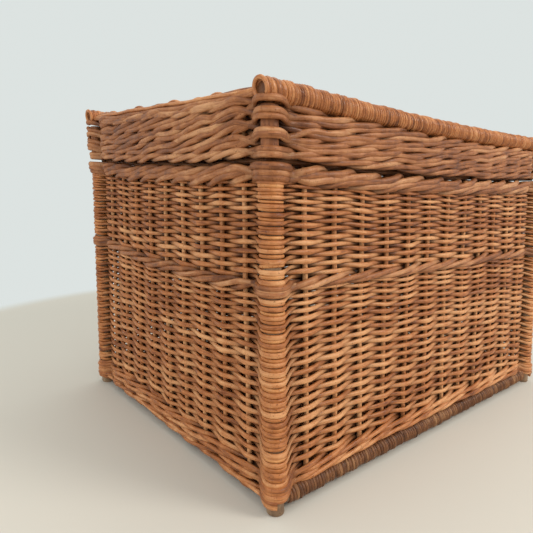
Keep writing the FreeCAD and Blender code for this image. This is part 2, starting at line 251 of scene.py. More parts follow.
STREAK_STARTS = (0, 50)  # metres along the streak pattern between which a rod's own streaks begin
CAP_SIZE = 0.02  # how much of the streak pattern the cut end of a rod shows


class Rods:
    """Collects willow rods, then makes them into one mesh."""

    def __init__(self):
        self.points, self.faces, self.uvs, self.tones, self.grime = [], [], [], [], []
        self.count = 0

    def add(self, path, thick, high, tone, up=UP, closed=False, sides=8, grime=0.0, start=None):
        """One rod along a path: thick and high are its half sizes across and along the up direction.
        Start is where its streaks begin, and the place where they end is returned."""
        path = np.asarray(path, float)
        n = len(path)
        thick = np.broadcast_to(thick, n)[:, None, None]
        high = np.broadcast_to(high, n)[:, None, None]
        tone = np.broadcast_to(tone, n)
        if closed:
            tangent = np.roll(path, -1, 0) - np.roll(path, 1, 0)
        else:
            tangent = np.gradient(path, axis=0)
        tangent /= np.linalg.norm(tangent, axis=1, keepdims=True)
        side = np.cross(tangent, up)
        side /= np.linalg.norm(side, axis=1, keepdims=True)
        lift = np.cross(side, tangent)
        angle = np.arange(sides) * FULL_TURN / sides
        across = np.cos(angle)[None, :, None] * side[:, None, :] * thick
        along = np.sin(angle)[None, :, None] * lift[:, None, :] * high
        ring = path[:, None, :] + across + along

        spans = n if closed else n - 1
        here = np.arange(spans)[:, None] * sides
        there = ((np.arange(spans)[:, None] + 1) % n) * sides
        j = np.arange(sides)[None, :]
        k = (j + 1) % sides
        quads = np.stack([here + j, there + j, there + k, here + k], -1).reshape(-1, 4) + self.count
        lengths = np.linalg.norm(np.diff(path, axis=0, append=path[:1]), axis=1)
        if not closed:
            lengths[-1] = 0
        if start is None:
            start = rng.uniform(*STREAK_STARTS)
        run = np.concatenate([[0], np.cumsum(lengths)]) + start
        u0 = np.repeat(run[:spans], sides)
        u1 = np.repeat(run[1 : spans + 1], sides)
        v0 = np.tile(np.arange(sides) / sides, spans)
        v1 = v0 + 1 / sides
        uv = np.stack([u0, v0, u1, v0, u1, v1, u0, v1], -1).reshape(-1, 2)
        self.points.append(ring.reshape(-1, 3))
        self.tones.append(np.repeat(tone, sides))
        # painted shade along the rod, by which the material darkens it
        self.grime.append(np.repeat(np.broadcast_to(grime, n), sides))
        self.faces.extend(quads.tolist())
        self.uvs.append(uv)
        last = self.count + (n - 1) * sides
        if not closed:
            self.faces.append([self.count + i for i in range(sides)])
            self.faces.append([last + i for i in reversed(range(sides))])
            cap = np.stack([np.cos(angle), np.sin(angle)], -1) * CAP_SIZE
            self.uvs.extend([cap, cap[::-1]])
        self.count += n * sides
        return run[-1]

    def build(self, name, material, body, stands_for):
        """One piece on a body, in the place of the CAD pieces that it stands for."""
        mesh = bpy.data.meshes.new(name)
        mesh.from_pydata(leaned(np.vstack(self.points), body).tolist(), [], self.faces)
        mesh.uv_layers.new(name="rod").data.foreach_set("uv", np.vstack(self.uvs).ravel())
        # The rod's tone, and its painted shade.
        for label, values in (("tone", self.tones), ("grime", self.grime)):
            mesh.attributes.new(label, "FLOAT", "POINT").data.foreach_set("value", np.concatenate(values))
        mesh.polygons.foreach_set("use_smooth", np.ones(len(mesh.polygons), bool))
        mesh.materials.append(material)
        mesh.update()
        piece = bpy.data.objects.new(name, mesh)
        bpy.context.scene.collection.objects.link(piece)
        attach(piece, body)
        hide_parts(*stands_for)
        return piece


STICK_BEVEL = 1.6 * MM
STICK_ENDS = (0.86, 0.95)  # shares of the radius at a stick's very end and a third of the bevel in
STICK_SECTIONS = 24


def stick(rods, start, end, radius, tone, sag=0.0, up=UP, sides=16):
    """A straight stick with rounded ends. Its middle hangs lower by the sag."""
    start, end = np.asarray(start, float), np.asarray(end, float)
    bevel = STICK_BEVEL / np.linalg.norm(end - start)
    rounding = np.array((0, bevel / 3, bevel))
    between = np.linspace(0, 1, STICK_SECTIONS + 2)[1:-1]
    share = np.concatenate([rounding, between, 1 - rounding[::-1]])
    path = start + (end - start) * share[:, None]
    path[:, Z] -= sag * (1 - (2 * share - 1) ** 2)
    size = radius * np.interp(np.minimum(share, 1 - share), rounding, (*STICK_ENDS, 1))
    rods.add(path, size, size, tone, up=up, sides=sides)


# ---------------------------------------------------------------- walls

# Slow waves of hand weaving: size, then radians per metre along the wall and up it.
SHIFT_WAVES = ((1.1 * MM, 31, 17), (0.9 * MM, -13, 43))
LIFT_WAVES = ((1.1 * MM, 37, 11), (0.7 * MM, 71, -23))
BULGE, BULGE_ALONG, BULGE_UP = 1.3 * MM, 9, 11
RISE_REACH = 75 * MM  # how far from a post the rows are still climbing

# Each table gives heights, then how far the rows there sag in the middle of a wall, or climb away
# from its posts.
BOX_LONG_SAG = ((0.03, 0.25, 0.36), (0, 3 * MM, 6 * MM))
BOX_END_SAG = ((0.03, 0.25, 0.36), (2 * MM, 12 * MM, 6 * MM))
BOX_RISE = ((0.03, 0.08, 0.16, 0.26), (4 * MM, 7 * MM, 7 * MM, 0))
LID_LONG_SAG = ((0.37, 0.445), (6 * MM, 6 * MM))
LID_END_SAG = ((0.37, 0.445), (5 * MM, 3 * MM))
FLAT = ((0, 1), (0, 0))


def waves(table, phases, s, z):
    """Sum of the waves of a table at distances along a wall and heights."""
    height = 0
    for (size, along, up), phase in zip(table, phases):
        height = height + size * np.sin(s * along + z * up + phase)
    return height


class Wall:
    """One side of the box or of the lid. Turns a distance along it, a height and a distance out of it
    into a point of the trunk, with the slow unevenness of hand weaving."""

    def __init__(self, name, ends, first, sag, rise):
        """Ends gives height, middle and half length at the bottom and at the top. First is the number
        of the wall's first upright in the round."""
        low, high = ends
        self.first = first
        self.heights = (low[0], high[0])
        self.middles = (np.array(low[1]), np.array(high[1]))
        self.halves = (low[2], high[2])
        self.along = np.array(DIRECTIONS[name])
        self.outward = np.cross(self.along, UP)
        self.stakes = STAKES[name]
        self.sag = sag
        self.rise = rise
        self.phases = rng.uniform(0, FULL_TURN, 6)

    def half(self, z):
        return np.interp(z, self.heights, self.halves)

    def upright(self, number, z):
        """Where along the wall an upright stands. The first and the last are the corner posts."""
        return self.half(z) * (2 * number / (self.stakes + 1) - 1)

    def place(self, stations):
        """Points of the trunk for rows of distance along the wall, height and distance out."""
        s, z, out = np.asarray(stations)[:, :3].T
        half = self.half(z)
        near_post = np.clip(np.abs(s) / half, 0, 1)
        free = 1 - near_post ** 4
        shift = waves(SHIFT_WAVES, self.phases[:2], s, z)
        lift = waves(LIFT_WAVES, self.phases[2:4], s, z)
        bulge = BULGE * np.sin(s * BULGE_ALONG + self.phases[4]) * np.sin(z * BULGE_UP + self.phases[5])
        climb = 1 - np.exp(-(((half - np.abs(s)) / RISE_REACH) ** 2))
        drop = np.interp(z, *self.sag) * (1 - near_post ** 2) - np.interp(z, *self.rise) * climb
        share = np.interp(z, self.heights, (0, 1))[:, None]
        middle = self.middles[0] * (1 - share) + self.middles[1] * share
        point = middle + (s + shift * free)[:, None] * self.along
        point += (out + bulge * free)[:, None] * self.outward
        point[:, Z] = z + lift * free - drop
        return point


def make_walls(ends, long_sag, end_sag, rise):
    """The four walls, with their uprights counted in the order that a weaver passes them."""
    walls, first = {}, 0
    for name in WALL_NAMES:
        if name in LONG_WALLS:
            walls[name] = Wall(name, ends[name], first, long_sag, rise)
        else:
            walls[name] = Wall(name, ends[name], first, end_sag, FLAT)
        first += STAKES[name] + 1
    return walls


def box_walls():
    """The box's walls, read from its stakes: the front and the rear lean out towards the floor."""
    front_low, front_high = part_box("stakes_front")
    rear_low, rear_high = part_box("stakes_rear")
    stake = half_size("stakes_left", X)
    end_x = centre("stakes_right").x
    front_y = (front_low.y + stake, front_high.y - stake)
    rear_y = (rear_high.y - stake, rear_low.y + stake)
    middle_y = (front_y[1] + rear_y[1]) / 2
    ends = {name: [] for name in WALL_NAMES}
    for z, front, rear in zip((front_low.z, front_high.z), front_y, rear_y):
        deep = (rear - front) / 2
        ends["front"].append((z, (0, front, 0), end_x))
        ends["right"].append((z, (end_x, middle_y, 0), deep))
        ends["rear"].append((z, (0, rear, 0), end_x))
        ends["left"].append((z, (-end_x, middle_y, 0), deep))
    return make_walls(ends, BOX_LONG_SAG, BOX_END_SAG, BOX_RISE)


def lid_walls():
    """The lid's walls, which stand straight up."""
    end_x = centre("lid_siding_right").x
    front_y, rear_y = centre("lid_siding_front").y, centre("lid_siding_rear").y
    middle_y, deep = (front_y + rear_y) / 2, (rear_y - front_y) / 2
    bottom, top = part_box("lid_edge_front")[0].z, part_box("lid_siding_left")[1].z
    places = {
        "front": ((0, front_y, 0), end_x),
        "right": ((end_x, middle_y, 0), deep),
        "rear": ((0, rear_y, 0), end_x),
        "left": ((-end_x, middle_y, 0), deep),
    }
    ends = {name: ((bottom, *place), (top, *place)) for name, place in places.items()}
    return make_walls(ends, LID_LONG_SAG, LID_END_SAG, FLAT)


STRAND_SIZES = (0.92, 1.07)
LIFT_SPREAD = 0.32 * MM
SWELL_SPREAD = 0.07
FIRST_TONES = (0.3, 0.7)
NEW_ROD_CHANCE = 0.1  # that a new rod is let in at an upright
NEW_ROD_TONES = (0.3, 0.8)
TONE_SPREAD = 0.07
TONE_LIMITS = (0.28, 0.82)


class Strand:
    """How one weaver looks on its way round the trunk, at each upright that it passes."""

    def __init__(self, unevenness=1.0):
        self.size = rng.uniform(*STRAND_SIZES)
        self.run = rng.uniform(*STREAK_STARTS)
        self.lift = rng.normal(0, LIFT_SPREAD * unevenness, ROUND + 1)
        self.swell = rng.normal(1, SWELL_SPREAD, ROUND + 1)
        self.tone = np.empty(ROUND + 1)
        value = rng.uniform(*FIRST_TONES)
        for k in range(ROUND + 1):
            if rng.random() < NEW_ROD_CHANCE:
                value = rng.uniform(*NEW_ROD_TONES)
            value += rng.normal(0, TONE_SPREAD)
            self.tone[k] = value = float(np.clip(value, *TONE_LIMITS))


# ---------------------------------------------------------------- ways of weaving

# A rod's way along a wall is a list of stations: distance along the wall, height, distance out,
# half thickness, half height, tone and painted shade, the darkening drawn where it lies behind an
# upright.

OUTSIDE_ANGLES = (1.1, 1.6, 2.1, 2.6)  # of the stations round a post, for a rod that passes outside it
INSIDE_ANGLES = (-0.5, -1.0)
INSIDE_REACH = 1.1  # a rod inside a post keeps this many radii from its axis


class Spot(NamedTuple):
    """A station beside or round a corner post."""

    distance: float  # from the post's axis along the wall
    out: float
    dip: float  # share of the whole dip, and below of the rod's thickness and height
    thick: float
    high: float
    # painted shade: how much darker the rod is drawn here
    grime: float


def turn_spots(radius, gap, outside):
    """A rod's way round a corner post, from the middle of the gap beside it to just past the diagonal."""
    if not outside:
        spots = [Spot(0.5 * gap, 0, dip=0.1, thick=0.9, high=0.84, grime=0.35)]
        for angle in INSIDE_ANGLES:
            distance = INSIDE_REACH * radius * math.cos(angle)
            out = INSIDE_REACH * radius * math.sin(angle)
            spots.append(Spot(distance, out, dip=0.6, thick=1, high=1, grime=1))
        return spots
    spots = [
        Spot(0.52 * gap, 0.12 * radius, dip=0.2, thick=0.9, high=0.84, grime=0.35),
        Spot(1.02 * radius, 0.62 * radius, dip=0.72, thick=0.9, high=0.88, grime=0.2),
    ]
    for angle in OUTSIDE_ANGLES:
        distance = radius * math.cos(angle)
        spots.append(Spot(distance, radius * math.sin(angle), dip=1, thick=0.85, high=1, grime=0))
    return spots


def corner(wall, at_end, radius, dip, z, thick, high, band, tone, outside, gap):
    """Stations of a rod's turn round a corner post. Band is its half height where it lies on the post."""
    stations = []
    for spot in turn_spots(radius, gap, outside):
        s = wall.half(z) - spot.distance
        if not at_end:
            s = -s
        level = z - dip * spot.dip
        tall = band if outside and spot.dip == 1 else high * spot.high
        stations.append((s, level, spot.out, thick * spot.thick, tall, tone, spot.grime))
    return stations if at_end else stations[::-1]


PATH_STEPS = 4  # from one station to the next


def lay(rods, wall, stations, strand):
    """Adds a rod through the stations, whose streaks go on from wall to wall."""
    path = smooth_path(stations, PATH_STEPS)
    # the last column is the painted shade
    thick, high, tone, grime = path[:, 3:7].T
    strand.run = rods.add(wall.place(path), thick, high, tone, grime=grime, start=strand.run)


POST_STAND_OFF = 0.85  # of a rod's half thickness, between the corner post and the rod's middle
POST_DIP = ((0.05, 0.2, 0.34), (7.5 * MM, 7 * MM, 1 * MM))  # by height: a weaver's way down to a post
RANDING_STAKE = 2.5 * MM  # the stake radius from which a weaver's swing is reckoned
RANDING_STAND_OFF = 0.8  # of its half thickness, between the stake and the weaver's middle
POST_BAND = 0.6  # of the pitch: a weaver's half height on a corner post
CROWN = 0.09  # of the gap: how far to either side of a stake a weaver stays in front of it
FRONT_SWELL = 1.22  # how much taller a weaver is in front of a stake
REAR_SWELL = 1.5  # and behind it, where it closes the wall


def randing(rods, wall, z, pitch, thick, odd, strand):
    """One weaver that goes in front of one stake and behind the next."""
    high = pitch * 0.5 * strand.size
    swing = RANDING_STAKE + thick * RANDING_STAND_OFF
    last = wall.stakes + 1
    gap = 2 * wall.half(z) / last
    dip = np.interp(z, *POST_DIP)
    stations = []
    for number in range(last + 1):
        k = wall.first + number
        front = (k + odd) % 2 == 0
        shade = strand.tone[k]
        level = z + strand.lift[k]
        if number in (0, last):
            radius = POST_RADIUS + thick * POST_STAND_OFF
            band = pitch * POST_BAND * strand.swell[k]
            stations += corner(
                wall, number == last, radius, dip, level, thick, high, band, shade, front, gap
            )
            continue
        s = wall.upright(number, z)
        # Each station ends with its painted shade: none in front of a stake, full behind it, a little in
        # the gap.
        if front:
            tall = high * FRONT_SWELL * strand.swell[k]
            stations.append((s - CROWN * gap, level, swing, thick, tall, shade, 0))
            stations.append((s + CROWN * gap, level, swing, thick, tall, shade, 0))
        else:
            stations.append((s, level, -swing, thick, high * REAR_SWELL, shade, 1))
        if number < last - 1:
            stations.append((s + gap / 2, z, 0, thick * 0.95, high * 1.06, shade, 0.25))
    lay(rods, wall, stations, strand)


WALING_STAKE = 2.75 * MM  # as above, for a rod of waling
WALING_STAND_OFF = 0.9
OVERLAP = 0.35  # of its half thickness: how much further out a rod lies with each upright that it passes
POST_OVERLAP = 0.3  # the same at a corner post
POST_SWELL = 1.25  # how much taller a rod is beside a corner post
DIVE = 0.8  # of the rise: how far below or above the middle a rod goes in and comes out


def waling(rods, wall, z, strands, post_radius, radius, rise, dip, outside_post=None):
    """A round of waling: each rod goes in front of all uprights but one in turn, over the rods before it.
    At a corner post they all stay outside, or with outside_post only that many of them."""
    swing = WALING_STAKE + radius * WALING_STAND_OFF
    last = wall.stakes + 1
    gap = 2 * wall.half(z) / last
    period = len(strands)
    for rod, strand in enumerate(strands):
        size = radius * strand.size
        stations = []
        for number in range(last + 1):
            k = wall.first + number
            beat = (k + rod) % period
            behind = beat == period - 1
            shade = strand.tone[k]
            step = 0 if behind else rise * (beat / (period - 2) - 0.5)
            level = z + strand.lift[k] + step
            if number in (0, last):
                outside = outside_post is None or beat < outside_post
                if outside_post and outside:
                    level = z + 2 * strand.lift[k] + (beat - (outside_post - 1) / 2) * 2 * radius
                around = post_radius + size * (POST_STAND_OFF + (0 if behind else POST_OVERLAP * beat))
                band = size * strand.swell[k]
                high = size * POST_SWELL
                stations += corner(
                    wall, number == last, around, dip, level, size, high, band, shade, outside, gap
                )
                continue
            s = wall.upright(number, z)
            # Each station ends with its painted shade: full behind an upright, part where a rod dives in
            # or comes out, none in front.
            if behind:
                stations.append((s, level, -swing, size, size, shade, 1))
            else:
                stations.append((s, level, swing + OVERLAP * size * beat, size, size * 1.08, shade, 0))
            if number == last - 1:
                continue
            between = s + gap / 2
            if behind:
                stations.append((between, z - rise * DIVE, 0.1 * swing, size, size * 0.9, shade, 0.5))
            elif beat == period - 2:
                stations.append((between, z + rise * DIVE, 0.35 * swing, size, size * 0.9, shade, 0.4))
            else:
                middle = rise * ((beat + 0.5) / (period - 2) - 0.5)
                stations.append((between, z + middle, swing + 0.5 * size, size, size, shade, 0))
        lay(rods, wall, stations, strand)


def rows_between(low, high, pitches):
    """Heights and pitches of the rows that fill a band: the pitch is given at shares of its height."""
    rows, z = [], low
    while True:
        pitch = np.interp((z - low) / (high - low), *pitches)
        if z + pitch > high + pitch * 0.4:
            break
        rows.append((z + pitch / 2, pitch))
        z += pitch
    spare = (high - z) / len(rows)
    return [(level + spare * (i + 0.5), pitch) for i, (level, pitch) in enumerate(rows)]


# ---------------------------------------------------------------- walls of the box

walls = box_walls()
POST_RADIUS = half_size("corner_post_front_left", X)
WEAVER_THICK = 2.4 * MM
SLIM_PITCH = 4 * MM  # below this pitch the weavers are thinner too
STAKE_RADIUS = 3 * MM
STAKE_TONES = (0.45, 0.8)

# Siding of the box, in two bands. The rows are tighter where they were packed down under a wale.
BANDS = {
    "lower_siding": ((0, 0.55, 0.86, 1), (5.7 * MM, 5.4 * MM, 4.6 * MM, 3.7 * MM)),
    "upper_siding": ((0, 0.45, 1), (5.4 * MM, 4.6 * MM, 3.5 * MM)),
}
UNDER_BORDER = 5 * MM  # how far the upper siding goes on inside the border
siding = []  # height, pitch and number in its band of each row
for band, pitches in BANDS.items():
    low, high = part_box(f"{band}_front")
    top = high.z + (UNDER_BORDER if band == "upper_siding" else 0)
    rows = rows_between(low.z, top, pitches)
    strands = [Strand() for _ in rows]
    for name in WALL_NAMES:
        rods = Rods()
        for number, ((z, pitch), strand) in enumerate(zip(rows, strands)):
            thick = WEAVER_THICK * min(1, pitch / SLIM_PITCH) * strand.size
            randing(rods, walls[name], z, pitch, thick, number, strand)
        rods.build(f"{band}_rods_{name}", weaver_willow, "box", [f"{band}_{name}"])
    siding += [(z, pitch, number) for number, (z, pitch) in enumerate(rows)]


def wale_band(label, rounds, material, rods_each, radius, rise, dip):
    """Foot wale, mid wale or border: thick rods that cross over one another."""
    looks = [[Strand() for _ in range(rods_each)] for _ in rounds]
    for name in WALL_NAMES:
        rods = Rods()
        for z, strands in zip(rounds, looks):
            waling(rods, walls[name], z, strands, POST_RADIUS, radius, rise, dip)
        rods.build(f"{label}_rods_{name}", material, "box", [f"{label}_{name}"])


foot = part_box("foot_wale_left")[0].z
foot_rounds = (foot + 5.5 * MM, foot + 14.5 * MM)
mid_rounds = (centre("mid_wale_front").z,)
border_rounds = (centre("border_front").z - 0.5 * MM,)
wale_band("foot_wale", foot_rounds, weaver_willow, 3, radius=2.9 * MM, rise=5 * MM, dip=6 * MM)
wale_band("mid_wale", mid_rounds, rod_willow, 3, radius=3.4 * MM, rise=6.4 * MM, dip=3 * MM)
wale_band("border", border_rounds, rod_willow, 4, radius=4 * MM, rise=11 * MM, dip=-1 * MM)

# The ends of the base are covered by one more round.
rods = Rods()
base_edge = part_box("base_weave")[0].z + 7.5 * MM
for name in ("left", "right"):
    strands = [Strand() for _ in range(3)]
    waling(rods, walls[name], base_edge, strands, POST_RADIUS, radius=3 * MM, rise=5 * MM, dip=0)
rods.build("base_edge_rods", weaver_willow, "box", ["foot_wale_left"])

# Two rods lie along the inside of each wall: one at the rim and one near the border's underside.
INNER_RODS = ((0.5 * MM, -7 * MM), (-21 * MM, -5.5 * MM))  # height from the rim, distance out
INNER_ROD_RADIUS = 2.7 * MM
rods = Rods()
Strand()  # isn't used, and keeps the random draws after it in their order
for wall in walls.values():
    s = np.linspace(-1, 1, 24) * wall.half(RIM_Z)
    for height, out in INNER_RODS:
        stations = np.stack([s, RIM_Z + height + 0 * s, out + 0 * s], -1)
        tone = rng.uniform(0.3, 0.6)
        # Painted shade: these rods are drawn a little darker all along.
        rods.add(wall.place(stations), INNER_ROD_RADIUS, INNER_ROD_RADIUS, tone, grime=0.3)
rods.build("border_inner_rods", rod_willow, "box", ["border_front"])


def corner_post(wall, name, node, body, material, top, radius, tone):
    """The post at which a wall begins. It stands at the wall's first upright."""
    low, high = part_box(node)
    start, end = wall.place([(-wall.half(z), z, 0) for z in (low.z, high.z)])
    start[Z], end[Z] = low.z, top
    rods = Rods()
    stick(rods, start, end, radius, tone, up=wall.outward, sides=24)
    rods.build(name, material, body, [node])


def add_stakes(rods, wall, bottom, top, sections):
    """The stakes of one wall."""
    heights = np.linspace(bottom, top, sections)
    for number in range(1, wall.stakes + 1):
        stations = np.stack([wall.upright(number, heights), heights, 0 * heights], -1)
        tone = rng.uniform(*STAKE_TONES)
        rods.add(wall.place(stations), STAKE_RADIUS, STAKE_RADIUS, tone, up=wall.outward)


POST_TOP = RIM_Z - 3 * MM  # the border's rods cover the posts' ends
for name, wall in walls.items():
    post = FIRST_POST[name]
    node = f"corner_post_{post}"
    corner_post(wall, f"post_{post}", node, "box", post_willow, POST_TOP, POST_RADIUS, tone=0.5)
STAKES_INTO_BORDER = 20 * MM
for name, wall in walls.items():
    rods = Rods()
    low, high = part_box(f"stakes_{name}")
    add_stakes(rods, wall, low.z, high.z + STAKES_INTO_BORDER, sections=30)
    rods.build(f"stake_rods_{name}", stake_willow, "box", [f"stakes_{name}"])

# Extra turns round the corner posts, which fill the spaces that the weavers leave there.
TURN_RADIUS = POST_RADIUS + 1.6 * MM
TURN_THICK = 1.9 * MM
TURN_HEIGHTS = (0.38, 0.46)  # shares of the pitch
BORDER_TURNS = (-1 * MM, 4 * MM, 8 * MM)  # heights from the border's underside
RING = np.linspace(0, FULL_TURN, 28, endpoint=False)


def post_turn(wall, level, tilt=0.0):
    """A ring round the post at which a wall begins."""
    s = -wall.half(level) + TURN_RADIUS * np.cos(RING)
    return wall.place(np.stack([s, level + tilt * np.sin(RING), TURN_RADIUS * np.sin(RING)], -1))


rods = Rods()
border_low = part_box("border_front")[0].z
for wall in walls.values():
    for z, pitch, number in siding:
        if (wall.first + number) % 2 == 0:
            continue
        level = z - np.interp(z, *POST_DIP) + rng.normal(0, 0.3 * MM)
        ring = post_turn(wall, level, rng.normal(0, 0.5 * MM))
        high = pitch * rng.uniform(*TURN_HEIGHTS)
        rods.add(ring, TURN_THICK, high, rng.uniform(0.35, 0.75), closed=True)
    for height in BORDER_TURNS:
        ring = post_turn(wall, border_low + height)
        rods.add(ring, 2 * MM, 2.5 * MM, rng.uniform(0.35, 0.7), closed=True)
rods.build("corner_turns", wrap_willow, "box", ["corner_wraps"])


# ---------------------------------------------------------------- outer sticks, panels, loops

END_TURNS = 3  # wide turns at either end of a binding
TURN_SPREAD = (0.82, 1.2)  # of the pitch
TURN_STEPS = 18
TURN_WIDTH = 0.54  # of the pitch: a little more than half, so that the turns touch
RUN_JOINT = 0.12  # share of a run at its start drawn darker, painted shade below the step of the run before
RUN_WAVE = (0.3, 61)  # how unevenly the runs follow one another: share of a run, radians per metre
RIPPLES = ((0.35 * MM, 90), (0.25 * MM, 233))  # of the binding's thickness: size, radians per metre
SLANT = 1.2 * MM  # how far a turn leans along the stick
SLANT_WAVE = (1.5 * MM, 23)


def binding(label, node, pitch, end_pitch, rod, step_length, step_height, body, sag, material):
    """A weaver wound closely round an outer stick, in short runs that each grow a little thicker.
    The first and the last turns are wider than the rest."""
    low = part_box(node)[0]
    middle = centre(node)
    radius = half_size(node, Z) - rod
    half = half_size(node, X)
    ends = [end_pitch] * END_TURNS
    count = int((2 * half - 2 * END_TURNS * end_pitch) / pitch)
    turns = [*ends, *(pitch * rng.uniform(*TURN_SPREAD, count)), *ends]
    spots = np.concatenate([[0], np.cumsum(turns)])
    spots = low.x + spots / spots[-1] * 2 * half
    samples = np.arange(len(turns) * TURN_STEPS + 1) / TURN_STEPS
    x = np.interp(samples, np.arange(len(spots)), spots)
    wide = np.interp(samples, np.arange(len(turns)) + 0.5, turns)
    angle = samples * FULL_TURN
    run = (x - low.x) / step_length + RUN_WAVE[0] * np.sin(x * RUN_WAVE[1])
    grown = radius - step_height + step_height * (run % 1)
    grown += sum(size * np.sin(x * frequency) for size, frequency in RIPPLES)
    slope = SLANT + SLANT_WAVE[0] * np.sin(x * SLANT_WAVE[1])
    drop = sag * (1 - ((x - middle.x) / half) ** 2)
    along = x + slope * np.cos(angle)
    out = middle.y + grown * np.cos(angle)
    up = middle.z - drop + grown * np.sin(angle)
    path = np.stack([along, out, up], -1)
    shades = np.clip(rng.normal(0.5, 0.12, len(turns) + 1), 0.2, 0.85)
    shade = np.repeat(shades, TURN_STEPS)[: len(samples)]
    # Painted shade at the start of each run, in the step below the end of the run before.
    grime = 0.5 * (1 - np.clip((run % 1) / RUN_JOINT, 0, 1))
    rods = Rods()
    rods.add(path, rod, wide * TURN_WIDTH, shade, up=SIDEWAYS, sides=6, grime=grime)
    rods.build(label, material, body, [node])


LID_SAG = 6 * MM  # how far the long sides of the lid hang in the middle
# Each winding: pitch, pitch at the ends, the weaver's half thickness, and a run's length and growth.
LID_WINDING = (3.5 * MM, 7.4 * MM, 1.8 * MM, 19.5 * MM, 1.5 * MM)
BASE_WINDING = (4.4 * MM, 5 * MM, 1.9 * MM, 24 * MM, 1.6 * MM)
for side in LONG_WALLS:
    binding(
        f"lid_binding_rods_{side}", f"lid_binding_{side}", *LID_WINDING, "lid", LID_SAG, bound_willow
    )
    binding(f"base_binding_rods_{side}", f"base_binding_{side}", *BASE_WINDING, "box", 0, base_willow)


def outer_stick(node, body, material, sag, recess):
    """The stick inside a binding, with its ends set back by the recess."""
    low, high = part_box(node)
    middle = centre(node)
    rods = Rods()
    start = (low.x + recess, middle.y, middle.z)
    end = (high.x - recess, middle.y, middle.z)
    stick(rods, start, end, half_size(node, Z), tone=0.35, sag=sag)
    rods.build(f"{node}_rod", material, body, [node])


# Two open loops go round either end of the lid's outer sticks.
LOOP_ARC = (-50, 215)  # degrees
LOOP_ROD = 2.3 * MM
LOOPS = ((9.6 * MM, -1.2 * MM, 0.6), (8.2 * MM, -5 * MM, 0.4))  # radius, distance past the end, tone
for side in LONG_WALLS:
    outer_stick(f"base_outer_stick_{side}", "box", post_willow, sag=0, recess=0)
    node = f"lid_outer_stick_{side}"
    outer_stick(node, "lid", base_willow, sag=LID_SAG, recess=2.5 * MM)
    low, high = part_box(node)
    middle = centre(node)
    rods = Rods()
    arc = np.linspace(*np.radians(LOOP_ARC), 30)
    for end, outwards in ((low.x, -1), (high.x, 1)):
        for radius, reach, tone in LOOPS:
            x = end + outwards * (reach + 1.5 * MM * np.sin(arc))
            loop = np.stack([x, middle.y + radius * np.cos(arc), middle.z + radius * np.sin(arc)], -1)
            rods.add(loop, LOOP_ROD, LOOP_ROD, tone, up=SIDEWAYS)
    rods.build(f"lid_stick_loops_{side}", bound_willow, "lid", [node])

PANEL_STICKS = 8
PANEL_THICK = 2.2 * MM
STICK_INSET = 13 * MM  # the inner sticks end inside the end walls
TUCK = 4 * MM  # how far a panel's weavers reach past it, in under the bindings
PANEL_WIDTHS = (0.5, 0.55)  # of the pitch
PANEL_SWELL = 0.28  # how much wider a weaver gets where it goes over or under a stick


def panel(label, node, sticks_node, body, pitch, steps, sides, sag):
    """The woven base or top: weavers run across it, over one stick and under the next."""
    low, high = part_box(node)
    sticks_low, sticks_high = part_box(sticks_node)
    radius = half_size(sticks_node, Z)
    z = centre(node).z
    ys = np.linspace(sticks_low.y + radius, sticks_high.y - radius, PANEL_STICKS)
    gap = ys[1] - ys[0]
    rods = Rods()
    for y in ys:
        start = (low.x + STICK_INSET, y, z)
        end = (high.x - STICK_INSET, y, z)
        stick(rods, start, end, radius, rng.uniform(0.3, 0.6), sag, sides=10)
    rods.build(f"{label}_sticks", stake_willow, body, [sticks_node])
    rods = Rods()
    number = 0
    x = low.x + pitch / 2
    while x < high.x:
        shade = rng.uniform(0.25, 0.75)
        swing = radius + PANEL_THICK * 0.7
        if min(x - low.x, high.x - x) < STICK_INSET:
            swing = 0.5 * MM
        stations = [(low.y - TUCK, swing * (-0.9 if number % 2 else 0.9))]
        for k, y in enumerate(ys):
            stations.append((y, swing if (k + number) % 2 else -swing))
            if k < PANEL_STICKS - 1:
                stations.append((y + gap / 2, 0))
        stations.append((high.y + TUCK, swing * (0.9 if (PANEL_STICKS + number) % 2 else -0.9)))
        y, height = smooth_path(stations, steps).T
        wave = 1.2 * MM * np.sin(y * 23 + x * 9)
        drop = sag * (1 - (x / high.x) ** 2)
        points = np.stack([x + wave, y, z - drop + height], -1)
        swell = 1 + PANEL_SWELL * np.abs(height) / (radius + PANEL_THICK)
        wide = pitch * rng.uniform(*PANEL_WIDTHS) * swell
        rods.add(points, wide, PANEL_THICK, shade, sides=sides)
        x += pitch
        number += 1
    rods.build(f"{label}_rods", weaver_willow, body, [node])


panel(
    "lid_top", "lid_weave", "lid_inner_sticks", "lid", pitch=5.4 * MM, steps=4, sides=8, sag=LID_SAG
)
panel("base", "base_weave", "base_inner_sticks", "box", pitch=5.8 * MM, steps=3, sides=6, sag=0)


# ---------------------------------------------------------------- walls of the lid

lid = lid_walls()
LID_POST_RADIUS = half_size("lid_corner_post_front_left", X)
EDGE_POST_RADIUS = LID_POST_RADIUS - 2.5 * MM  # the edge rods are drawn in round the posts
edge_low, edge_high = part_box("lid_edge_left")
lid_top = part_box("lid_siding_left")[1].z
edge_round = edge_low.z + 5.4 * MM
lid_rounds = np.linspace(edge_high.z + 6 * MM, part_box("lid_siding_front")[1].z - 7 * MM, 3)
edge_looks = [Strand() for _ in range(3)]
lid_looks = [[Strand(unevenness=4) for _ in range(4)] for _ in lid_rounds]
TOP_RODS = ((-4 * MM, 6 * MM), (1.5 * MM, 8.5 * MM), (5.5 * MM, 4.5 * MM))  # distance out, height


